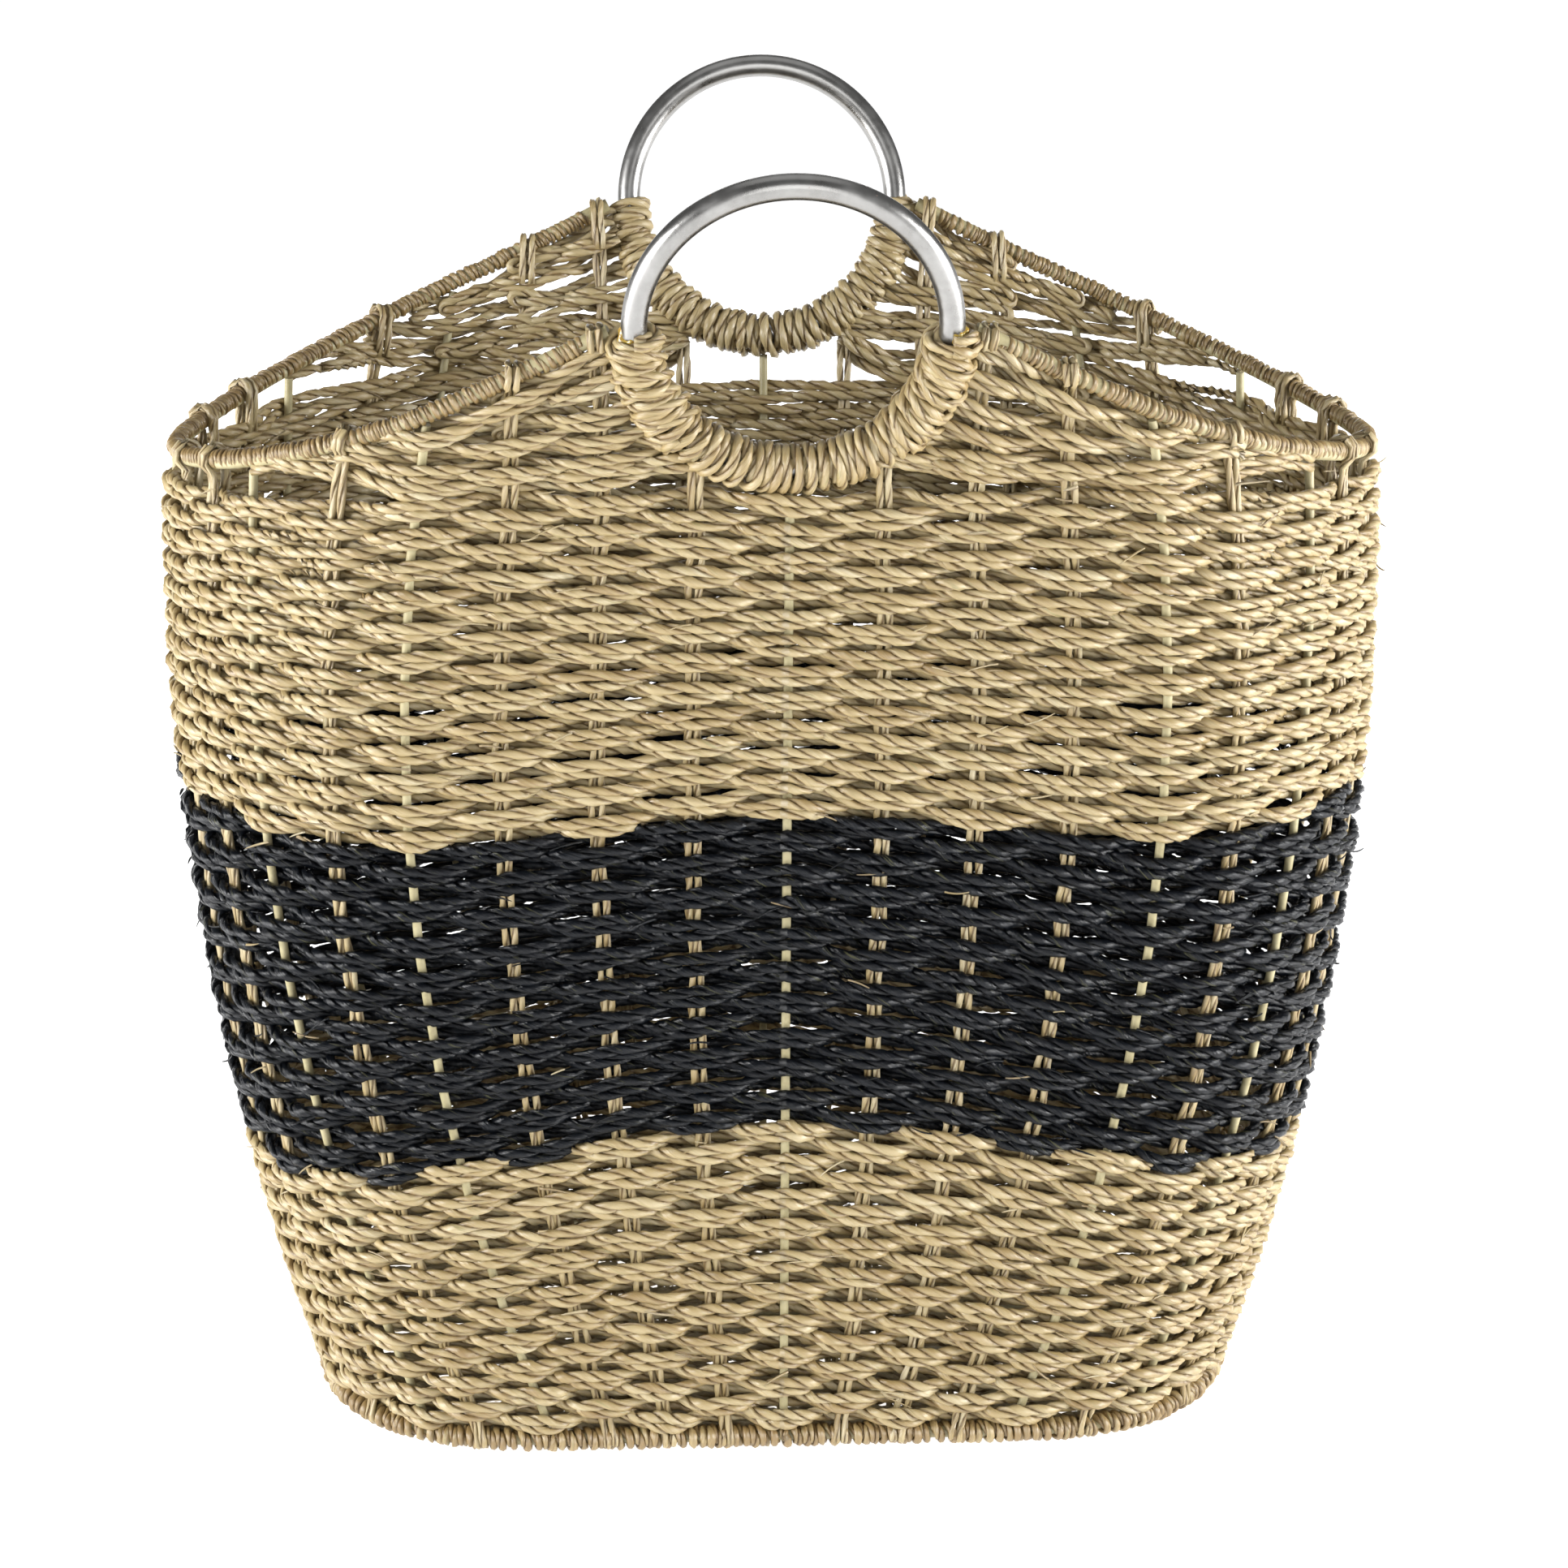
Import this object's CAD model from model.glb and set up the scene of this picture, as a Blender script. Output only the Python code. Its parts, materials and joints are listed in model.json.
import json
import math

import bmesh
import bpy
import numpy as np
from mathutils import Matrix, Vector


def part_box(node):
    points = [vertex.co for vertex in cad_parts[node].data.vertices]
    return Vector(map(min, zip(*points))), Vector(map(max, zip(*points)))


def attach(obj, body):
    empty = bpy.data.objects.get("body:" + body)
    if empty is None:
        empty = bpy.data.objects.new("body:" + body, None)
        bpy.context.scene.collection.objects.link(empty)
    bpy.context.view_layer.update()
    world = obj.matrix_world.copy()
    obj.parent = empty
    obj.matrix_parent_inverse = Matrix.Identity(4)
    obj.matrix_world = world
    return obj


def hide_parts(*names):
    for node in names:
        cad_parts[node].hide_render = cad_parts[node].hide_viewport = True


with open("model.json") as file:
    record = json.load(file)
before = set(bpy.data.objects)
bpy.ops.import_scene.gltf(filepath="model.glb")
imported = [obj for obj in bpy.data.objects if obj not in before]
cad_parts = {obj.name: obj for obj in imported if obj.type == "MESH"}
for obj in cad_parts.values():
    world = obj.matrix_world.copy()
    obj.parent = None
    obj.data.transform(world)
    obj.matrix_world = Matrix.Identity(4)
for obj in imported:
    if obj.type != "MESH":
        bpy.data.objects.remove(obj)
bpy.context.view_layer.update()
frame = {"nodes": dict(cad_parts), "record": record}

# ---------------------------------------------------------------------------------------
# Sizes, in metres
# ---------------------------------------------------------------------------------------

ROD_RADIUS = 0.00175
RING_WIRE = 0.0048
RIM_WIRE = 0.0028
RIM_OVER_ROD = 0.0048
RIM_SAG = 0.004
NEAR_RIM = 0.43

CORD_RADIUS = 0.00222
CORD_TWIST = 0.0195
CORD_SIDES = 6
CORD_STEP = 0.0027

WARPS = 36
QUARTER = 9
CORNER_WARP = 4
SIDE_WARP = 6
END_WARPS = {7: 0.72, 8: 0.42}

LOWER_ROWS = 19
BAND_ROWS = 19
BAND_END = LOWER_ROWS + BAND_ROWS
FULL_ROWS = 21
FRONT_ROWS = 23

# Pairs of distance from the middle of the face and value there.
UPPER_PITCH = ((0.0, 0.0056), (0.141, 0.0062), (0.230, 0.0054))
BAND_TOP_DROP = ((0.0, 0.0), (0.070, 0.0050), (0.141, 0.0125), (0.220, 0.0095))
BAND_BOTTOM_DROP = (
    (0.0, 0.0), (0.065, 0.0065), (0.128, 0.0190), (0.160, 0.0240), (0.215, 0.0325))

CORNERS = ("front_right", "front_left", "back_right", "back_left")

TAUTNESS = 0.8
RING_BEND = 0.008
BEND_START = 0.39
BEND_SPAN = 0.08

rng = np.random.default_rng(20)


# ---------------------------------------------------------------------------------------
# Places read from the frame
# ---------------------------------------------------------------------------------------

def box(name):
    low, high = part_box(name)
    return np.array(low), np.array(high)


def rod_line(name):
    """X and Y of an upright rod's middle, as polynomials of height."""
    mesh = frame["nodes"][name].data
    places = np.empty(len(mesh.vertices) * 3)
    mesh.vertices.foreach_get("co", places)
    places = np.unique(places.reshape(-1, 3).round(5), axis=0)
    heights = places[:, 2]
    x_line = np.polyfit(heights, places[:, 0], 5)
    y_line = np.polyfit(heights, places[:, 1], 5)
    return x_line, y_line


CORNER_LINE = rod_line("front_right_corner_rib")
SIDE_LINE = rod_line("front_right_side_rib")
END_LINE = rod_line("right_end_rib")


def ring_shape(name):
    """Centre, radius and outward lean of a ring handle, from its box."""
    low, high = box(name)
    centre = (low + high) / 2.0
    size = (high - low) / 2.0
    radius = size[0] - RING_WIRE
    lean = math.atan2(size[1] - RING_WIRE, size[2] - RING_WIRE)
    return centre, radius, math.copysign(lean, centre[1])


RING_CENTRE, RING_RADIUS, RING_LEAN = ring_shape("back_ring_handle")
RIM_START = box("right_rim_wire")[0][0]
RIM_AT_RING = box("right_rim_wire")[1][2] - RIM_WIRE
RIM_AT_END = box("right_end_rib")[1][2] + RIM_OVER_ROD
END_REACH = box("right_end_rib")[1][0] - ROD_RADIUS
BAND_TOP = (box("front_dark_band")[1][2], BAND_TOP_DROP)
BAND_BOTTOM = (box("front_lower_weave")[1][2], BAND_BOTTOM_DROP)
ROWS_START = box("front_lower_weave")[0][2]


# ---------------------------------------------------------------------------------------
# The wall as a surface of warp number and height
# ---------------------------------------------------------------------------------------

def quarter_xy(station, height):
    """Plan place of the mid wall in the front right quarter, with Y made positive."""
    corner_x = np.polyval(CORNER_LINE[0], height)
    face_y = -np.polyval(CORNER_LINE[1], height)
    end_x = np.polyval(END_LINE[0], height)
    side_x = np.polyval(SIDE_LINE[0], height)
    side_y = -np.polyval(SIDE_LINE[1], height)
    across = np.clip((side_x - corner_x) / (end_x - corner_x), 0.02, 0.98)
    along = np.clip(side_y / face_y, 0.02, 0.98)
    power = np.full_like(height, 2.0)
    for _ in range(30):
        miss = across ** power + along ** power - 1.0
        slope = across ** power * np.log(across) + along ** power * np.log(along)
        power = np.clip(power - miss / slope, 1.2, 4.0)
    side_angle = np.arccos(np.clip(across ** (power / 2.0), 0.0, 1.0))

    share = np.interp(station, [SIDE_WARP, *END_WARPS, QUARTER], [1.0, *END_WARPS.values(), 0.0])
    before_side = np.clip((station - CORNER_WARP) / (SIDE_WARP - CORNER_WARP), 0.0, 1.0)
    first = math.pi / 2.0 + (side_angle - math.pi / 2.0) * before_side
    angle = np.where(station <= SIDE_WARP, first, side_angle * share)
    x = corner_x + (end_x - corner_x) * np.abs(np.cos(angle)) ** (2.0 / power)
    y = face_y * np.abs(np.sin(angle)) ** (2.0 / power)
    on_face = station <= CORNER_WARP
    rise = np.clip((height - BEND_START) / BEND_SPAN, 0.0, 1.0) ** 2
    bend = RING_BEND * rise * np.sin(math.pi * np.clip(station / CORNER_WARP, 0.0, 1.0))
    face_x = corner_x * station / CORNER_WARP + bend
    return np.where(on_face, face_x, x), np.where(on_face, face_y, y)


def smooth_wall(warp, height):
    """Mid-wall places on the smooth plan. Warp 0 is the middle of the front, 9 the right end."""
    warp = np.asarray(warp, float) % WARPS
    warp, height = np.broadcast_arrays(warp, np.asarray(height, float))
    quarter = np.minimum((warp // QUARTER).astype(int), 3)
    within = warp - quarter * QUARTER
    station = np.where(quarter % 2 == 0, within, QUARTER - within)
    x, y = quarter_xy(station, height)
    x = np.where(quarter < 2, x, -x)
    y = np.where((quarter == 0) | (quarter == 3), -y, y)
    return np.stack([x, y, height], axis=-1)


def wall(warp, height):
    """Mid-wall places. The cords pull nearly straight from one warp to the next."""
    warp = np.asarray(warp, float)
    before = np.floor(warp)
    part = (warp - before)[..., None]
    straight = smooth_wall(before, height) * (1.0 - part)
    straight = straight + smooth_wall(before + 1.0, height) * part
    return straight * TAUTNESS + smooth_wall(warp, height) * (1.0 - TAUTNESS)


def unit(vectors):
    return vectors / np.maximum(np.linalg.norm(vectors, axis=-1, keepdims=True), 1e-12)


def wall_frame(warp, height):
    """Places, outward normals and upward directions on the wall."""
    warp, height = np.asarray(warp), np.asarray(height)
    side_nudge, up_nudge = 0.4, 0.002
    place = wall(warp, height)
    ahead = wall(warp + side_nudge, height) - wall(warp - side_nudge, height)
    above = wall(warp, height + up_nudge) - place
    outward = unit(np.cross(ahead, above))
    upward = unit(above)
    return place, outward, upward


def profile(points, x):
    """A value given at a few distances from the middle, read off between them."""
    reach, value = zip(*points)
    return np.interp(np.abs(x), reach, value)


def fall(levels, x):
    """Height of a colour change at a distance from the middle of the face."""
    middle, drops = levels
    return middle - profile(drops, x)


def rim_height(x):
    """Height of the rim wire's middle, which falls from the ring to the end with a slight sag."""
    run = np.clip((np.abs(x) - RIM_START) / (END_REACH - RIM_START), 0.0, 1.1)
    sag = RIM_SAG * np.sin(math.pi * np.clip(run, 0.0, 1.0))
    return RIM_AT_RING - (RIM_AT_RING - RIM_AT_END) * run - sag


def run_lengths(path):
    """Distance along a path at each of its points."""
    return np.concatenate([[0.0], np.cumsum(np.linalg.norm(np.diff(path, axis=0), axis=1))])


LOOP_HEIGHT = 0.24
LOOP = np.linspace(-WARPS / 2.0, WARPS * 1.5, 1441)
LOOP_LENGTHS = run_lengths(wall(LOOP, LOOP_HEIGHT))


def even_warps(start, end, step):
    """Warp numbers evenly spaced in length along the wall."""
    lengths = np.interp([start, end], LOOP, LOOP_LENGTHS)
    count = max(int(round((lengths[1] - lengths[0]) / step)), 4)
    return np.interp(np.linspace(lengths[0], lengths[1], count + 1), LOOP_LENGTHS, LOOP)


# ---------------------------------------------------------------------------------------
# Strand meshes
# ---------------------------------------------------------------------------------------

SECTION_GRAIN = 0.002
PLY_OFFSET = 0.45
PLY_HALF_DEPTH = 0.55
PLY_HALF_WIDTH = 0.84
PLY_LOBES = 0.07


class Strands:
    """Gathers round strands into one mesh, with each strand's grain stored on its points."""

    def __init__(self):
        self.places = []
        self.grains = []
        self.tones = []
        self.quads = []
        self.caps = []
        self.total = 0

    def add(self, middle, side_a, side_b, half_a, half_b, tone,
            closed=False, sides=CORD_SIDES, lobes=0.0):
        """One strand. side_a and side_b are its section's axes, half_a and half_b their reach."""
        count = len(middle)
        angle = np.linspace(0.0, 2.0 * math.pi, sides, endpoint=False)
        swell = 1.0 + lobes * np.cos(3.0 * angle + rng.uniform(0.0, 6.28))
        half_a = np.broadcast_to(half_a, (count,))[:, None]
        half_b = np.broadcast_to(half_b, (count,))[:, None]
        reach_a = (half_a * np.cos(angle) * swell)[..., None]
        reach_b = (half_b * np.sin(angle) * swell)[..., None]
        places = middle[:, None] + reach_a * side_a[:, None] + reach_b * side_b[:, None]

        along = run_lengths(middle) + rng.uniform(0.0, 50.0)
        grain = np.empty((count, sides, 3))
        grain[..., 0] = np.cos(angle) * SECTION_GRAIN
        grain[..., 1] = np.sin(angle) * SECTION_GRAIN
        grain[..., 2] = along[:, None]

        here = np.arange(count)[:, None] * sides + np.arange(sides)
        turn = np.roll(here, -1, axis=1)
        rows = count if closed else count - 1
        up = np.roll(here, -1, axis=0)
        up_turn = np.roll(turn, -1, axis=0)
        quads = np.stack([here, turn, up_turn, up], axis=-1)[:rows].reshape(-1, 4)
        self.quads.append(quads + self.total)
        if not closed:
            self.caps.append(here[0][::-1] + self.total)
            self.caps.append(here[-1] + self.total)
        self.places.append(places.reshape(-1, 3))
        self.grains.append(grain.reshape(-1, 3))
        tones = np.asarray(tone, float).reshape(-1, 1)
        self.tones.append(np.broadcast_to(tones, (count, sides)).reshape(-1))
        self.total += count * sides

    def mesh(self, name):
        quads = np.concatenate(self.quads)
        sizes = [np.full(len(quads), 4)] + [[len(cap)] for cap in self.caps]
        sizes = np.concatenate(sizes).astype(np.int32)
        starts = np.concatenate([[0], np.cumsum(sizes)[:-1]]).astype(np.int32)
        corners = np.concatenate([quads.reshape(-1), *self.caps]).astype(np.int32)
        places = np.concatenate(self.places).astype(np.float32)
        grains = np.concatenate(self.grains).astype(np.float32)
        mesh = bpy.data.meshes.new(name)
        mesh.vertices.add(self.total)
        mesh.vertices.foreach_set("co", places.reshape(-1))
        mesh.loops.add(len(corners))
        mesh.loops.foreach_set("vertex_index", corners)
        mesh.polygons.add(len(sizes))
        mesh.polygons.foreach_set("loop_start", starts)
        mesh.polygons.foreach_set("use_smooth", np.ones(len(sizes), bool))
        mesh.update(calc_edges=True)
        grain = mesh.attributes.new("grain", "FLOAT_VECTOR", "POINT")
        grain.data.foreach_set("vector", grains.reshape(-1))
        tone = mesh.attributes.new("tone", "FLOAT", "POINT")
        tone.data.foreach_set("value", np.concatenate(self.tones).astype(np.float32))
        mesh.validate()
        return mesh


def ripple(length, span, size):
    """A smooth random wave along a strand, about size high, with bumps about span long."""
    total = length[-1] - length[0] + 1e-9
    wave = np.zeros_like(length)
    stretches, height_of_sum = (0.6, 1.0, 1.7), 1.8
    for stretch in stretches:
        turns = max(round(total / (span * stretch)), 1)
        phase = rng.uniform(0.0, 2.0 * math.pi)
        wave += np.sin(2.0 * math.pi * turns * (length - length[0]) / total + phase)
    return wave * size / height_of_sum


def headings(middle, closed):
    """Direction of travel at each point of a strand."""
    if closed:
        return unit(np.roll(middle, -1, axis=0) - np.roll(middle, 1, axis=0))
    return unit(np.gradient(middle, axis=0))


def twisted_cord(strands, middle, outward, radius, tone, closed=False, twist=CORD_TWIST):
    """A cord of two plies twisted together, always in the same sense."""
    ahead = headings(middle, closed)
    beside = unit(np.cross(outward, ahead))
    outward = np.cross(ahead, beside)
    length = run_lengths(middle)
    total = length[-1]
    turns = total / (twist * rng.uniform(0.88, 1.14))
    if closed:
        total += np.linalg.norm(middle[0] - middle[-1])
        turns = round(turns)
    wander = ripple(length, 0.10, 0.9)
    start = rng.uniform(0.0, 2.0 * math.pi)
    for ply in range(2):
        angle = start + ply * math.pi - 2.0 * math.pi * turns * length / total + wander
        radial = outward * np.cos(angle)[:, None] + beside * np.sin(angle)[:, None]
        around = beside * np.cos(angle)[:, None] - outward * np.sin(angle)[:, None]
        size = radius * (1.0 + ripple(length, 0.022, 0.13) + rng.uniform(-0.05, 0.05))
        own_tone = tone + rng.uniform(-0.17, 0.17) + ripple(length, 0.09, 0.08)
        strands.add(
            middle + radial * (size * PLY_OFFSET)[:, None], radial, around,
            size * PLY_HALF_DEPTH, size * PLY_HALF_WIDTH, own_tone, closed=closed, lobes=PLY_LOBES)


# ---------------------------------------------------------------------------------------
# Materials
# ---------------------------------------------------------------------------------------

def new_material(name):
    material = bpy.data.materials.new(name)
    material.use_nodes = True
    tree = material.node_tree
    return material, tree, tree.nodes["Principled BSDF"]


def attribute(tree, name):
    node = tree.nodes.new("ShaderNodeAttribute")
    node.attribute_name = name
    return node


def grey(value):
    return (value, value, value)


def ramp(tree, factor, stops):
    """Colours at positions of a factor."""
    node = tree.nodes.new("ShaderNodeValToRGB")
    elements = node.color_ramp.elements
    while len(elements) < len(stops):
        elements.new(0.5)
    for element, (position, colour) in zip(elements, stops):
        element.position = position
        element.color = (*colour, 1.0)
    tree.links.new(factor, node.inputs["Fac"])
    return node.outputs["Color"]


def stretched_grain(tree, across, along):
    """Strand coordinates with many fibres across and long streaks along."""
    grain = attribute(tree, "grain")
    scale = tree.nodes.new("ShaderNodeVectorMath")
    scale.operation = "MULTIPLY"
    scale.inputs[1].default_value = (across, across, along)
    tree.links.new(grain.outputs["Vector"], scale.inputs[0])
    return scale.outputs["Vector"]


def noise(tree, vector, scale, detail=3.0, roughness=0.6):
    node = tree.nodes.new("ShaderNodeTexNoise")
    node.inputs["Scale"].default_value = scale
    node.inputs["Detail"].default_value = detail
    node.inputs["Roughness"].default_value = roughness
    tree.links.new(vector, node.inputs["Vector"])
    return node.outputs["Fac"]


def blend_colour(tree, factor, first, shade):
    """A colour that turns to a fixed shade as the factor goes to one."""
    node = tree.nodes.new("ShaderNodeMix")
    node.data_type = "RGBA"
    tree.links.new(factor, node.inputs["Factor"])
    tree.links.new(first, node.inputs["A"])
    node.inputs["B"].default_value = (*shade, 1.0)
    return node.outputs["Result"]


def scaled_sum(tree, value, scale, added):
    node = tree.nodes.new("ShaderNodeMath")
    node.operation = "MULTIPLY_ADD"
    tree.links.new(value, node.inputs[0])
    node.inputs[1].default_value = scale
    tree.links.new(added, node.inputs[2])
    return node.outputs[0]


def add_relief(tree, shader, height, strength, distance):
    relief = tree.nodes.new("ShaderNodeBump")
    relief.inputs["Strength"].default_value = strength
    relief.inputs["Distance"].default_value = distance
    tree.links.new(height, relief.inputs["Height"])
    tree.links.new(relief.outputs["Normal"], shader.inputs["Normal"])


def solid_place(tree):
    return tree.nodes.new("ShaderNodeTexCoord").outputs["Object"]


def grass_material(name, shades, stray_shade, crease_shade, roughness, specular, bump):
    """Dry grass: fibres along the strand, each strand and stretch in its own shade."""
    material, tree, shader = new_material(name)
    streaks = noise(tree, stretched_grain(tree, 900.0, 22.0), 1.0, 4.0, 0.65)
    patches = noise(tree, stretched_grain(tree, 60.0, 40.0), 1.0, 2.0)
    strand_shade = scaled_sum(tree, streaks, 0.80, attribute(tree, "tone").outputs["Fac"])
    colour = ramp(tree, scaled_sum(tree, patches, 0.35, strand_shade), shades)

    flecks = noise(tree, stretched_grain(tree, 500.0, 90.0), 1.0, 2.0)
    fleck_mask = ramp(tree, flecks, [(0.62, grey(0.0)), (0.74, grey(1.0))])
    colour = blend_colour(tree, fleck_mask, colour, stray_shade)

    # The grain's X is low on the side of a strand that faces the cord's middle.
    grain = attribute(tree, "grain")
    parts = tree.nodes.new("ShaderNodeSeparateXYZ")
    tree.links.new(grain.outputs["Vector"], parts.inputs[0])
    crease = tree.nodes.new("ShaderNodeMapRange")
    crease.interpolation_type = "SMOOTHSTEP"
    tree.links.new(parts.outputs["X"], crease.inputs["Value"])
    crease.inputs["From Min"].default_value = 0.0009
    crease.inputs["From Max"].default_value = -0.0014
    crease.inputs["To Max"].default_value = 0.75
    colour = blend_colour(tree, crease.outputs["Result"], colour, crease_shade)
    tree.links.new(colour, shader.inputs["Base Color"])

    rough_spread = 0.12
    rough = tree.nodes.new("ShaderNodeMapRange")
    tree.links.new(streaks, rough.inputs["Value"])
    rough.inputs["To Min"].default_value = roughness - rough_spread
    rough.inputs["To Max"].default_value = roughness + rough_spread
    tree.links.new(rough.outputs["Result"], shader.inputs["Roughness"])
    add_relief(tree, shader, streaks, bump, 0.0006)
    shader.inputs["Specular IOR Level"].default_value = specular
    return material


def natural_grass():
    shades = [
        (0.16, (0.232, 0.150, 0.052)),
        (0.46, (0.345, 0.257, 0.114)),
        (0.74, (0.410, 0.325, 0.167)),
        (1.00, (0.500, 0.435, 0.280)),
    ]
    return grass_material(
        "natural_grass", shades, stray_shade=(0.28, 0.235, 0.10),
        crease_shade=(0.175, 0.108, 0.038), roughness=0.40, specular=0.95, bump=0.9)


def dyed_grass():
    shades = [
        (0.16, (0.0014, 0.0018, 0.0028)),
        (0.56, (0.0030, 0.0040, 0.0058)),
        (0.90, (0.0065, 0.0080, 0.0105)),
        (1.00, (0.0220, 0.0235, 0.0220)),
    ]
    return grass_material(
        "dyed_grass", shades, stray_shade=(0.045, 0.045, 0.022),
        crease_shade=(0.0012, 0.0016, 0.0024), roughness=0.18, specular=0.27, bump=1.0)


def ring_steel():
    """Satin steel with faint scratches and a few rust specks."""
    material, tree, shader = new_material("ring_steel")
    place = solid_place(tree)
    haze = noise(tree, place, 90.0, 5.0)
    specks = noise(tree, place, 420.0, 2.0)
    colour = ramp(tree, haze, [(0.3, (0.30, 0.295, 0.285)), (0.7, (0.42, 0.415, 0.405))])
    rust_mask = ramp(tree, specks, [(0.74, grey(0.0)), (0.80, grey(1.0))])
    rust = (0.17, 0.08, 0.04)
    tree.links.new(blend_colour(tree, rust_mask, colour, rust), shader.inputs["Base Color"])
    metallic = ramp(tree, rust_mask, [(0.0, grey(1.0)), (1.0, grey(0.1))])
    tree.links.new(metallic, shader.inputs["Metallic"])
    rough = ramp(tree, haze, [(0.3, grey(0.24)), (0.7, grey(0.36))])
    tree.links.new(rough, shader.inputs["Roughness"])
    add_relief(tree, shader, specks, 0.12, 0.0003)
    return material


def coated_wire():
    """Wire in a pale khaki coating, slightly worn and uneven."""
    material, tree, shader = new_material("coated_wire")
    place = solid_place(tree)
    cloud = noise(tree, place, 140.0, 4.0)
    shades = [(0.25, (0.25, 0.21, 0.105)), (0.5, (0.37, 0.325, 0.18)), (0.8, (0.45, 0.405, 0.25))]
    tree.links.new(ramp(tree, cloud, shades), shader.inputs["Base Color"])
    rough = ramp(tree, cloud, [(0.2, grey(0.35)), (0.8, grey(0.6))])
    tree.links.new(rough, shader.inputs["Roughness"])
    add_relief(tree, shader, cloud, 0.15, 0.0003)
    return material


def amber_glue():
    """Dried glue, cloudy and a little translucent."""
    material, tree, shader = new_material("amber_glue")
    place = solid_place(tree)
    cloud = noise(tree, place, 220.0, 3.0)
    shades = [(0.3, (0.22, 0.13, 0.02)), (0.7, (0.48, 0.34, 0.07))]
    tree.links.new(ramp(tree, cloud, shades), shader.inputs["Base Color"])
    shader.inputs["Roughness"].default_value = 0.18
    shader.inputs["Subsurface Weight"].default_value = 0.25
    shader.inputs["Subsurface Scale"].default_value = 0.002
    add_relief(tree, shader, cloud, 0.3, 0.0008)
    return material


MATERIALS = {
    "natural_grass": natural_grass(),
    "dyed_grass": dyed_grass(),
    "ring_steel": ring_steel(),
    "coated_wire": coated_wire(),
    "glue": amber_glue(),
}


def add_object(name, data):
    thing = bpy.data.objects.new(name, data)
    bpy.context.scene.collection.objects.link(thing)
    return thing


def place_piece(mesh, name, slot, replaced=()):
    piece = add_object(name, mesh)
    mesh.materials.append(MATERIALS[slot])
    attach(piece, "root")
    if replaced:
        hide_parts(*replaced)


def finish_piece(strands, name, slot, replaced=()):
    place_piece(strands.mesh(name), name, slot, replaced)


# ---------------------------------------------------------------------------------------
# Woven rows
# ---------------------------------------------------------------------------------------

OVER_REACH = ROD_RADIUS + CORD_RADIUS * 0.70
SPREAD = 0.0018
ROWS_PER_PIECE = 4

HALF_ROUND = WARPS / 2.0
BACK_GAP = 0.95
BACK_LIFT = 0.014
BACK_LIFT_SPAN = 0.9

FAN_ROWS = 11
FAN_THROUGH = (0, 2, 5, 8)
FAN_ENDS = (3.1, 4.05, 3.15, 2.1)
BACK_MISSING = (3,)
FAN_THROUGH_END = 6.6
FAN_STEP = 0.085
FAN_START = -66.0
FAN_TURN = 6.2
FAN_REACH = 0.060
FAN_PITCH = 0.006
FAN_CORNER = 0.4135
FAN_CORNER_STEP = 0.0024
RIM_CLEARANCE = 0.0052
RIM_SQUEEZE = 0.004
FEWEST_STATIONS = 8


def row_height(row, warp):
    """Height of a row's middle at each warp, with the pitch there."""
    x = wall(warp, 0.25)[..., 0]
    if row < LOWER_ROWS:
        x = wall(warp, 0.10)[..., 0]
        pitch = (fall(BAND_BOTTOM, x) - ROWS_START) / LOWER_ROWS
        return ROWS_START + (row + 0.5) * pitch, pitch
    if row < BAND_END:
        low = fall(BAND_BOTTOM, x)
        pitch = (fall(BAND_TOP, x) - low) / BAND_ROWS
        return low + (row - LOWER_ROWS + 0.5) * pitch, pitch
    pitch = profile(UPPER_PITCH, x)
    return fall(BAND_TOP, x) + (row - BAND_END + 0.5) * pitch, pitch


def cord_pair(warps, height, phase, radius, pitch, slack=1.0):
    """Middle lines of a row's two cords. They pass each warp on the same side, one above the
    other, and part in depth between warps."""
    length = np.interp(warps, LOOP, LOOP_LENGTHS)
    swing = np.cos(math.pi * warps) * phase
    swing = swing * (1.5 - 0.5 * swing ** 2)
    crossing = np.sqrt(np.clip(1.0 - swing ** 2, 0.0, 1.0))
    height = height + ripple(length, 0.16, 0.0007 * slack)
    place, outward, upward = wall_frame(warps, height)
    room = np.clip((rim_height(place[:, 0]) - height) / 0.009, 0.3, 1.0)
    pair = []
    for side in (1.0, -1.0):
        apart = side * (0.94 * radius * np.abs(swing) + pitch / 4.0 * (1.0 - np.abs(swing)))
        depth = OVER_REACH * swing * room + side * SPREAD * crossing
        depth = depth + ripple(length, 0.035, 0.00035 * slack)
        apart = apart + ripple(length, 0.045, 0.00035 * slack)
        pair.append((place + outward * depth[:, None] + upward * apart[:, None], outward, upward))
    return pair


def lay_row(strands, warps, height, phase, radius, pitch, tone, closed=False, slack=1.0):
    for middle, outward, _ in cord_pair(warps, height, phase, radius, pitch, slack):
        twisted_cord(strands, middle, outward, radius, tone + rng.uniform(-0.06, 0.06), closed)


def lay_looped_row(strands, warps, height, phase, radius, pitch, tone, slack=1.0):
    """A row whose cord turns back round its last warp and becomes the row's other cord."""
    (top, outward, _), (bottom, _, _) = cord_pair(warps, height, phase, radius, pitch, slack)
    ahead = unit(top[-1] - top[-2])
    centre = (top[-1] + bottom[-1]) / 2.0
    reach = (top[-1] - bottom[-1]) / 2.0
    angle = np.linspace(0.0, math.pi, 7)[1:-1, None]
    bow = np.linalg.norm(reach) + 0.001
    turn = centre + reach * np.cos(angle) + ahead * np.sin(angle) * bow
    middle = np.concatenate([top, turn, bottom[::-1]])
    turn_out = np.repeat(outward[-1:], len(turn), axis=0)
    twisted_cord(strands, middle, np.concatenate([outward, turn_out, outward[::-1]]), radius, tone)


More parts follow.
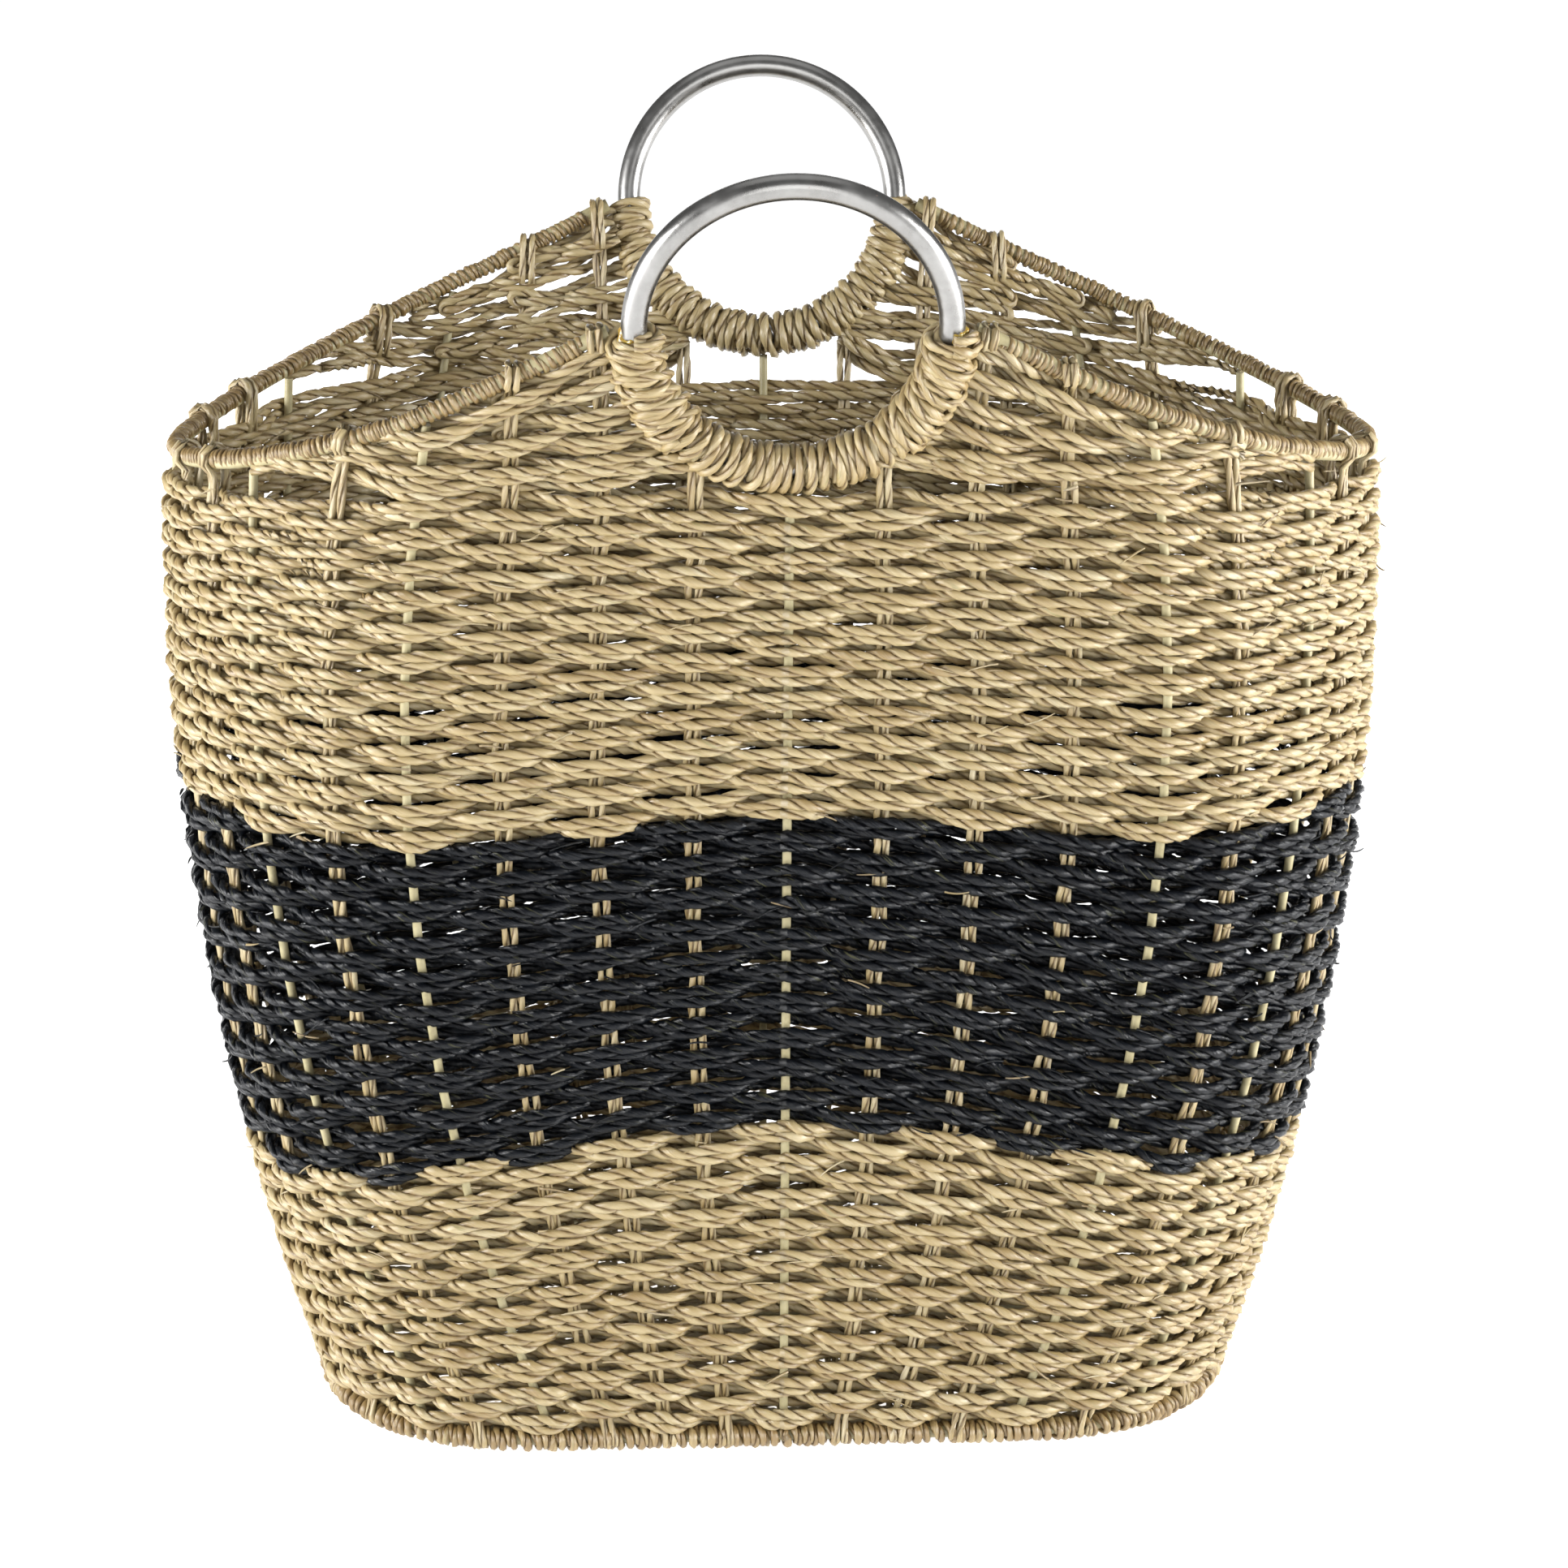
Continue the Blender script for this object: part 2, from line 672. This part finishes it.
def weave(name, rows, slot, radius, replaced):
    """Rows of one zone. The topmost stop behind the back ring and lift towards it."""
    strands = Strands()
    for row in rows:
        phase = 1.0 if row % 2 == 0 else -1.0
        tone = rng.uniform(-0.05, 0.05)
        if row < BAND_END + FULL_ROWS:
            warps = even_warps(0.0, WARPS, CORD_STEP)[:-1]
            height, pitch = row_height(row, warps)
            lay_row(strands, warps, height, phase, radius, pitch, tone, closed=True)
            continue
        last = HALF_ROUND - BACK_GAP
        warps = even_warps(-last, last, CORD_STEP)
        height, pitch = row_height(row, warps)
        from_end = np.minimum(warps + last, last - warps)
        height = height + BACK_LIFT * np.clip(1.0 - from_end / BACK_LIFT_SPAN, 0.0, 1.0) ** 2
        lay_row(strands, warps, height, phase, radius, pitch, tone)
    finish_piece(strands, name, slot, replaced)


def corner_warps(corner, stations):
    """Warp numbers for stations counted from the middle of the front or back."""
    return {
        "front_right": stations,
        "back_right": HALF_ROUND - stations,
        "back_left": stations - HALF_ROUND,
        "front_left": -stations,
    }[corner]


def fan(strands, corner, radius):
    """Rows that start round the side of a ring and run out under the rim."""
    behind = corner.startswith("back")
    corner_x = np.polyval(CORNER_LINE[0], NEAR_RIM)
    for number in range(FAN_ROWS):
        through = number in FAN_THROUGH
        if behind and number in BACK_MISSING:
            continue
        angle = math.radians(FAN_START + FAN_TURN * number)
        start_x = FAN_REACH * math.cos(angle)
        start_z = RING_CENTRE[2] + FAN_REACH * math.sin(angle) * math.cos(RING_LEAN)
        corner_z = FAN_CORNER + FAN_CORNER_STEP * number
        first = CORNER_WARP * start_x / corner_x
        last = FAN_THROUGH_END if through else FAN_ENDS[number % len(FAN_ENDS)]
        stations = np.arange(first, last, FAN_STEP)
        x = np.abs(wall(stations, NEAR_RIM)[:, 0])
        part = np.clip((x - start_x) / (corner_x - start_x), 0.0, 1.0)
        height = start_z + (corner_z - start_z) * part ** 0.85
        height = height + fall(BAND_TOP, x) - fall(BAND_TOP, np.minimum(x, corner_x))
        highest = rim_height(x) - RIM_CLEARANCE
        under = height < highest + RIM_SQUEEZE
        if not under.all():
            stop = int(np.argmin(under))
            stations, height, highest = stations[:stop], height[:stop], highest[:stop]
        if len(stations) < FEWEST_STATIONS:
            continue
        height = np.minimum(height, highest)
        phase = 1.0 if number % 2 == 0 else -1.0
        tone = rng.uniform(-0.08, 0.08)
        slack = 2.6 if behind else 1.5
        lay = lay_row if through else lay_looped_row
        warps = corner_warps(corner, stations)
        lay(strands, warps, height, phase, radius, FAN_PITCH, tone, slack=slack)


def make_fans():
    for corner in CORNERS:
        strands = Strands()
        fan(strands, corner, CORD_RADIUS * 0.94)
        finish_piece(strands, corner + "_fan_rows", "natural_grass", panel_nodes("upper_weave"))


def make_stray_cord():
    """A natural cord that runs up over the foot of the dyed band, beside the front right corner."""
    strands = Strands()
    warps = even_warps(3.25, 4.7, CORD_STEP)
    place, outward, upward = wall_frame(warps, fall(BAND_BOTTOM, wall(warps, 0.15)[:, 0]))
    part = np.linspace(0.0, 1.0, len(warps))
    rise = 0.0045 * np.sin(math.pi * part) ** 2 - 0.001
    depth = 0.0050 * np.sin(math.pi * part) ** 0.5
    middle = place + upward * rise[:, None] + outward * depth[:, None]
    twisted_cord(strands, middle, outward, CORD_RADIUS * 0.85, 0.0)
    finish_piece(strands, "stray_natural_cord", "natural_grass", panel_nodes("lower_weave"))


def panel_nodes(kind):
    return ["%s_%s" % (side, kind) for side in ("front", "back", "left", "right")]


def make_walls():
    zones = (
        ("lower_weave", 0, LOWER_ROWS, "natural_grass", CORD_RADIUS * 1.07),
        ("dark_band", LOWER_ROWS, BAND_END, "dyed_grass", CORD_RADIUS * 1.07),
        ("upper_weave", BAND_END, BAND_END + FRONT_ROWS, "natural_grass", CORD_RADIUS * 1.01),
    )
    for name, first, end, slot, radius in zones:
        for number, low in enumerate(range(first, end, ROWS_PER_PIECE), start=1):
            rows = range(low, min(low + ROWS_PER_PIECE, end))
            weave("%s_rows_%d" % (name, number), rows, slot, radius, panel_nodes(name))


# ---------------------------------------------------------------------------------------
# Double warps
# ---------------------------------------------------------------------------------------

STRAND_RADIUS = 0.0015
STRAND_GAP = 0.0016
STRAND_TWIST = 0.034
STRAND_FOOT = 0.0115
STRAND_STEP = 0.004
RING_WARP = 1
RING_WARP_TOP = 0.4335
HOOK_REACH = RIM_WIRE + 0.0022
HOOK_ANGLES = np.radians([-25.0, 20.0, 60.0, 90.0, 125.0, 165.0, 200.0])[:, None]
TAIL_DROPS = np.array([[0.004], [0.009], [0.014]])
BORDER_HEIGHT = 0.005
CURL_REACH_LEVEL = 0.0048
CURL_REACH_UP = 0.0024
CURL_ANGLES = np.radians([20.0, 350.0, 310.0, 268.0, 230.0, 190.0])[:, None]


def rim_point(warp):
    """Middle of the rim wire at a warp. Its height and distance out are found in turns."""
    height = np.full(np.shape(warp), NEAR_RIM)
    for _ in range(12):
        height = rim_height(smooth_wall(warp, height)[..., 0])
    return smooth_wall(warp, height)


def rim_hook(warp, foot, shift, out, up, along):
    """The top of a strand: over the rim wire and down outside it."""
    over = rim_point(warp) + along * shift
    hook = over + (out * np.cos(HOOK_ANGLES) + up * np.sin(HOOK_ANGLES)) * HOOK_REACH
    return np.concatenate([foot, hook, hook[-1] - up * TAIL_DROPS - out * 0.0005])


def border_curl(warp, shift, out, across, nearest):
    """The foot of a strand, curled round the border wire. It ends beside the given point."""
    low = wall(warp, BORDER_HEIGHT) + across * shift
    level = unit(out * np.array([1.0, 1.0, 0.0]))
    up = np.array([0.0, 0.0, 1.0])
    curl = low + level * np.cos(CURL_ANGLES) * CURL_REACH_LEVEL
    curl = curl + up * np.sin(CURL_ANGLES) * CURL_REACH_UP
    gaps = np.linalg.norm(curl[[0, -1]] - nearest, axis=1)
    return curl[::-1] if gaps[0] < gaps[1] else curl


def double_warp(strands, corner, station):
    """Two strands side by side, from round the border wire to over the rim or the ring."""
    warp = float(corner_warps(corner, np.array(float(station)))) % WARPS
    to_ring = station == RING_WARP
    top = RING_WARP_TOP if to_ring else float(rim_point(warp)[2])
    for side in (-1.0, 1.0):
        heights = np.arange(STRAND_FOOT, top - 0.003, STRAND_STEP)
        place, outward, upward = wall_frame(np.full_like(heights, warp), heights)
        across = np.cross(upward, outward)
        shift = side * STRAND_GAP + ripple(heights, 0.06, 0.0005)
        depth = ripple(heights, 0.03, 0.0003)
        middle = place + across * shift[:, None] + outward * depth[:, None]
        curl = border_curl(warp, shift[0], outward[0], across[0], middle[0])
        if to_ring:
            crown = middle[-1:] + upward[-1:] * 0.0035
            middle = np.concatenate([middle, crown])
        else:
            middle = rim_hook(warp, middle, shift[-1], outward[-1], upward[-1], across[-1])
        added = len(middle) - len(outward)
        out_all = np.concatenate([
            np.repeat(outward[:1], len(curl), axis=0), outward,
            np.repeat(outward[-1:], added, axis=0)])
        middle = np.concatenate([curl, middle])
        tone = 0.02 + rng.uniform(-0.1, 0.1)
        twisted_cord(strands, middle, out_all, STRAND_RADIUS, tone, twist=STRAND_TWIST)


def make_double_warps():
    groups = {"face_warps": (1, 2, 3), "corner_warp": (5,), "end_warps": (7, 8)}
    for group, stations in groups.items():
        for corner in CORNERS:
            strands = Strands()
            for station in stations:
                double_warp(strands, corner, station)
            node = "%s_%s" % (corner, group)
            finish_piece(strands, node + "_strands", "natural_grass", [node])


# ---------------------------------------------------------------------------------------
# Wound wires: rim, border and rings
# ---------------------------------------------------------------------------------------

RIM_WRAP_PITCH = 0.0029
RIM_WRAP_REACH = RIM_WIRE - 0.0005
RIM_WRAP_START = 0.010
FACE_HALF_WIDTH = 0.1415
BORDER_WRAP_PITCH = 0.0040
RING_WRAP_SWELL = 0.0012

# Layers of cord round each ring: pitch, how far they stand off the wire out of the ring's plane
# and in it, lean, cord radius, and the stretches they cover. Stretches are in degrees from the
# ring's right side, with the lower half negative.
WHOLE_WRAP = ((0.0, -180.0),)
END_WRAPS = ((-2.0, -50.0), (-130.0, -178.0))
RING_LAYERS = {
    "front": (
        (0.0040, 0.0004, 0.0010, 0.4, 0.0021, WHOLE_WRAP),
        (0.0046, 0.0020, 0.0036, -0.25, 0.0021, WHOLE_WRAP),
        (0.0085, 0.0030, 0.0050, 0.6, 0.0018, END_WRAPS),
    ),
    "back": (
        (0.0040, 0.0004, 0.0010, 0.4, 0.0021, WHOLE_WRAP),
        (0.0050, 0.0018, 0.0030, -0.30, 0.0021, WHOLE_WRAP),
    ),
}


def winding(path, side_a, side_b, pitch, reach_a, reach_b, lean, per_turn=14, closed=False):
    """A helix round a wire path, with the direction away from the wire at each point."""
    length = run_lengths(path)
    total = length[-1]
    turns = max(int(round(total / pitch)), 2)
    count = turns * per_turn + (0 if closed else 1)
    where = np.linspace(0.0, total, count, endpoint=not closed)
    crowd = ripple(where, pitch * 9.0, pitch * 0.35)
    from_end = np.minimum(where, total - where)
    fade = 1.0 if closed else np.clip(from_end / (pitch * 3.0), 0.0, 1.0)
    place_at = np.clip(where + crowd * fade, 0.0, total)
    angle = 2.0 * math.pi * np.arange(count) / per_turn
    tilt = lean + ripple(where, pitch * 2.3, 0.10)
    place_at = np.clip(place_at + np.cos(angle) * tilt * reach_a, 0.0, total)

    def along(values):
        parts = [np.interp(place_at, length, values[:, axis]) for axis in range(3)]
        return np.stack(parts, axis=-1)

    first, second = along(side_a), along(side_b)
    radial = first * np.cos(angle)[:, None] + second * np.sin(angle)[:, None]
    reach = reach_a * np.cos(angle) ** 2 + reach_b * np.sin(angle) ** 2
    reach = reach * (1.0 + ripple(where, pitch * 1.7, 0.05))
    return along(path) + radial * reach[:, None], radial


def wire_axes(path, closed=False):
    """Directions outward and upward from a wire that runs round the basket."""
    tangent = headings(path, closed)
    outward = unit(np.cross(tangent, np.array([0.0, 0.0, 1.0])))
    middle = path.mean(axis=0) * np.array([0.0, 0.0, 1.0])
    flip = np.sign(np.sum(outward * (path - middle), axis=-1, keepdims=True))
    outward = outward * flip
    return outward, unit(np.cross(outward, tangent) * -flip)


def make_rim_wraps():
    for side, centre_warp in (("right", 9.0), ("left", 27.0)):
        reach = QUARTER - CORNER_WARP * (RIM_START + RIM_WRAP_START) / FACE_HALF_WIDTH
        warps = np.linspace(centre_warp - reach, centre_warp + reach, 240)
        path = rim_point(warps)
        outward, upward = wire_axes(path)
        strands = Strands()
        middle, radial = winding(
            path, outward, upward, RIM_WRAP_PITCH, RIM_WRAP_REACH, RIM_WRAP_REACH, 0.35)
        twisted_cord(strands, middle, radial, 0.0015, -0.34, twist=0.024)
        finish_piece(strands, side + "_rim_winding", "natural_grass", [side + "_rim_wrap"])


def make_border_wrap():
    warps = even_warps(0.0, WARPS, 0.004)[:-1]
    path = smooth_wall(warps, BORDER_HEIGHT)
    outward, upward = wire_axes(path, closed=True)
    path = np.concatenate([path, path[:1]])
    outward = np.concatenate([outward, outward[:1]])
    upward = np.concatenate([upward, upward[:1]])
    strands = Strands()
    middle, radial = winding(
        path, outward, upward, BORDER_WRAP_PITCH, 0.0036, 0.0027, 0.3, per_turn=16, closed=True)
    twisted_cord(strands, middle, radial, 0.00200, -0.44, closed=True, twist=0.020)
    finish_piece(strands, "base_border_winding", "natural_grass", ["base_border_wrap"])


def ring_axes(side):
    """The ring's middle and the directions across, up along and out of its plane."""
    centre = np.array([0.0, side * abs(RING_CENTRE[1]), RING_CENTRE[2]])
    lean = abs(RING_LEAN)
    up = np.array([0.0, side * math.sin(lean), math.cos(lean)])
    out = np.array([0.0, side * math.cos(lean), -math.sin(lean)])
    return centre, np.array([1.0, 0.0, 0.0]), up, out


def make_ring_wraps():
    for name, side in (("front", -1.0), ("back", 1.0)):
        centre, across, up, out = ring_axes(side)
        degrees = np.linspace(-1.5, -178.5, 200)
        angle = np.radians(degrees)[:, None]
        away = across * np.cos(angle) + up * np.sin(angle)
        path = centre + away * (RING_RADIUS + RING_WRAP_SWELL * np.abs(np.sin(angle)))
        outward = np.repeat(out[None], len(path), axis=0)
        strands = Strands()
        for pitch, rise, bulge, lean, radius, stretches in RING_LAYERS[name]:
            for first, last in stretches:
                part = (degrees <= first) & (degrees >= last)
                middle, radial = winding(
                    path[part], outward[part], away[part], pitch, RING_WIRE + rise,
                    RING_WIRE + bulge, lean, per_turn=18)
                twisted_cord(strands, middle, radial, radius, 0.0, twist=0.024)
        finish_piece(strands, name + "_ring_winding", "natural_grass", [name + "_ring_wrap"])


# ---------------------------------------------------------------------------------------
# Base
# ---------------------------------------------------------------------------------------

BASE_ROWS = 48
BASE_MARGIN = 0.003
BASE_HEIGHT = 0.0056
BASE_SWING = 0.0022
BASE_CORD_RADIUS = 0.0024


def make_base():
    """Cords laid lengthwise, over and under the crosswise warps of the base."""
    strands = Strands()
    low, high = box("base_panel")
    rows = np.linspace(low[1] + BASE_MARGIN, high[1] - BASE_MARGIN, BASE_ROWS)
    outline = smooth_wall(np.linspace(0.0, QUARTER, 200), 0.006)
    step = outline[CORNER_WARP * len(outline) // QUARTER][0] / CORNER_WARP
    for number, y in enumerate(rows):
        half = np.interp(abs(y), -outline[::-1, 1], outline[::-1, 0]) - 0.002
        x = np.linspace(-half, half, max(int(half / 0.0016), 8))
        swing = np.cos(math.pi * x / step) * (1.0 if (number // 2) % 2 == 0 else -1.0)
        line = y + ripple(x, 0.1, 0.0004)
        middle = np.stack([x, line, BASE_HEIGHT + BASE_SWING * swing], axis=-1)
        up = np.repeat([[0.0, 0.0, 1.0]], len(x), axis=0)
        twisted_cord(strands, middle, up, BASE_CORD_RADIUS, rng.uniform(-0.1, 0.1))
    for station in (1, 2, 3, -1, -2, -3):
        for shift in (-STRAND_GAP, STRAND_GAP):
            y = np.linspace(low[1], high[1], 50)
            x = np.full_like(y, station * step + shift)
            middle = np.stack([x, y, np.full_like(y, BASE_HEIGHT)], axis=-1)
            up = np.repeat([[0.0, 0.0, 1.0]], len(y), axis=0)
            twisted_cord(strands, middle, up, STRAND_RADIUS, 0.0, twist=STRAND_TWIST)
    finish_piece(strands, "base_weave", "natural_grass", ["base_panel"])


# ---------------------------------------------------------------------------------------
# Glue and loose fibres
# ---------------------------------------------------------------------------------------

GLUE_SIZE = (0.0042, 0.0044, 0.0040)
GLUE_SHIFT = 0.0050
GLUE_DROP = 0.0026

FIBRES = 900
FIBRE_HEIGHTS = (0.02, 0.43)
RING_CLEAR = (0.075, 0.375)
STRAY_SHARE = 0.16


def make_glue():
    for face in ("front", "back"):
        for side in ("left", "right"):
            node = "%s_%s_glue_bead" % (face, side)
            low, high = box(node)
            centre = (low + high) / 2.0
            shape = bmesh.new()
            bmesh.ops.create_icosphere(shape, subdivisions=4, radius=1.0)
            seeds = rng.uniform(0.0, 6.28, 6)
            towards = -1.0 if side == "right" else 1.0
            for vertex in shape.verts:
                x, y, z = vertex.co
                lump = (1.0 + 0.18 * math.sin(3.0 * x + seeds[0]) * math.cos(2.6 * z + seeds[1])
                        + 0.12 * math.sin(5.0 * y + seeds[2]) + 0.10 * math.sin(6.0 * z + seeds[3])
                        + 0.05 * math.sin(11.0 * x + 9.0 * y + seeds[4]))
                vertex.co = Vector((
                    centre[0] + towards * GLUE_SHIFT + x * lump * GLUE_SIZE[0],
                    centre[1] + y * lump * GLUE_SIZE[1],
                    centre[2] - GLUE_DROP + z * lump * GLUE_SIZE[2]))
            mesh = bpy.data.meshes.new(node + "_blob")
            shape.to_mesh(mesh)
            shape.free()
            mesh.polygons.foreach_set("use_smooth", [True] * len(mesh.polygons))
            place_piece(mesh, node + "_blob", "glue", [node])


def leaf(strands, start, direction, bend, length, width, tone):
    """A thin tapering strip that curls away."""
    part = np.linspace(0.0, 1.0, 7)[:, None]
    middle = start + direction * part * length + bend * part ** 2 * length * 0.5
    tangent = unit(np.gradient(middle, axis=0))
    side = unit(np.cross(tangent, bend + 1e-4))
    normal = unit(np.cross(side, tangent))
    taper = np.sqrt(np.clip(1.0 - part[:, 0] ** 2, 0.02, 1.0))
    strands.add(middle, side, normal, width * taper, 0.00018 + 0.0002 * taper, tone, sides=4)


def make_fibres():
    natural, dyed = Strands(), Strands()
    for _ in range(FIBRES):
        warp = rng.uniform(0.0, WARPS)
        height = rng.uniform(*FIBRE_HEIGHTS)
        place, outward, upward = wall_frame(np.array([warp]), np.array([height]))
        place, outward, upward = place[0], outward[0], upward[0]
        if height > rim_height(place[0]) - 0.006:
            continue
        if abs(place[0]) < RING_CLEAR[0] and height > RING_CLEAR[1]:
            continue
        across = np.cross(upward, outward) * rng.choice([-1.0, 1.0])
        in_band = fall(BAND_BOTTOM, place[0]) < height < fall(BAND_TOP, place[0])
        face = 1.0 if rng.uniform() < 0.8 else -1.0
        start = place + outward * face * 0.0045
        lift, slope = rng.uniform(0.05, 0.4), rng.uniform(-0.35, 0.35)
        direction = unit(across + outward * face * lift + upward * slope)
        bend = outward * face * rng.uniform(-0.3, 0.35) + upward * rng.uniform(-0.6, 0.6)
        length = rng.uniform(0.004, 0.013)
        stray = rng.uniform() < STRAY_SHARE
        width = rng.uniform(0.0003, 0.0009)
        strands = dyed if in_band and not stray else natural
        leaf(strands, start, direction, bend, length, width, rng.uniform(-0.1, 0.35))
    finish_piece(natural, "loose_natural_fibres", "natural_grass")
    finish_piece(dyed, "loose_dyed_fibres", "dyed_grass")


# ---------------------------------------------------------------------------------------
# Carried-over CAD nodes
# ---------------------------------------------------------------------------------------

def dress_frame():
    """Gives the CAD nodes that still show the materials of their slots."""
    slots = {entry["node"]: entry["material_slot"] for entry in frame["record"]["subparts"]}
    for name, node in frame["nodes"].items():
        node.data.materials.clear()
        node.data.materials.append(MATERIALS[slots[name]])


# ---------------------------------------------------------------------------------------
# Floor, lights and camera
# ---------------------------------------------------------------------------------------

def make_floor():
    mesh = bpy.data.meshes.new("floor")
    reach = 9.0
    signs = ((-1.0, -1.0), (1.0, -1.0), (1.0, 1.0), (-1.0, 1.0))
    mesh.from_pydata([(x * reach, y * reach, 0.0) for x, y in signs], [], [(0, 1, 2, 3)])
    floor = add_object("floor", mesh)
    material, _, shader = new_material("floor")
    shader.inputs["Base Color"].default_value = (0.74, 0.74, 0.74, 1.0)
    shader.inputs["Roughness"].default_value = 0.9
    shader.inputs["Emission Color"].default_value = (1.0, 1.0, 1.0, 1.0)
    shader.inputs["Emission Strength"].default_value = 0.90
    mesh.materials.append(material)


def area_light(name, place, target, size, power):
    light = bpy.data.lights.new(name, "AREA")
    light.shape = "SQUARE"
    light.size = size
    light.energy = power
    lamp = add_object(name, light)
    lamp.location = place
    lamp.rotation_euler = (Vector(target) - Vector(place)).to_track_quat("-Z", "Y").to_euler()


def make_world():
    """White behind the basket, and a softer white for its light."""
    world = bpy.data.worlds.new("studio")
    world.use_nodes = True
    tree = world.node_tree
    seen = tree.nodes.new("ShaderNodeLightPath").outputs["Is Camera Ray"]
    strength = tree.nodes.new("ShaderNodeMapRange")
    strength.inputs["To Min"].default_value = 0.17
    strength.inputs["To Max"].default_value = 1.1
    tree.links.new(seen, strength.inputs["Value"])
    tree.links.new(strength.outputs["Result"], tree.nodes["Background"].inputs["Strength"])
    tree.nodes["Background"].inputs["Color"].default_value = (1.0, 1.0, 1.0, 1.0)
    bpy.context.scene.world = world
    bpy.context.scene.view_settings.view_transform = "Standard"


def make_lights():
    middle = (0.0, 0.0, 0.28)
    area_light("left_softbox", (-1.7, -0.60, 0.50), middle, 0.8, 50.0)
    area_light("right_softbox", (1.7, -0.50, 0.50), middle, 0.8, 55.0)
    area_light("front_fill", (0.1, -2.3, 0.8), middle, 1.2, 12.0)
    area_light("top_softbox", (0.0, 0.1, 2.0), middle, 1.4, 3.0)
    area_light("back_fill", (0.0, 2.3, 0.8), middle, 1.2, 11.0)


def make_camera():
    """A long lens from just left of the middle, above the rim and looking down a little."""
    pitch, pan, roll = math.radians(19.17), math.radians(2.80), math.radians(0.26)
    level = math.cos(pitch)
    forward = Vector((math.sin(pan) * level, math.cos(pan) * level, -math.sin(pitch)))
    right = Vector((math.cos(pan), -math.sin(pan), 0.0))
    up = right.cross(forward)
    rolled_right = right * math.cos(roll) + up * math.sin(roll)
    rolled_up = up * math.cos(roll) - right * math.sin(roll)
    turn = Matrix((rolled_right, rolled_up, -forward)).transposed()
    data = bpy.data.cameras.new("camera")
    data.lens = 82.0
    data.sensor_width = 36.0
    camera = add_object("camera", data)
    camera.matrix_world = Matrix.Translation((-0.0649, -1.409, 0.7449)) @ turn.to_4x4()
    bpy.context.scene.camera = camera


# ---------------------------------------------------------------------------------------
# Everything in turn. The random draws follow this order.
# ---------------------------------------------------------------------------------------

make_walls()
make_fans()
make_stray_cord()
make_double_warps()
make_rim_wraps()
make_border_wrap()
make_ring_wraps()
make_base()
make_glue()
make_fibres()
dress_frame()
make_floor()
make_lights()
make_world()
make_camera()
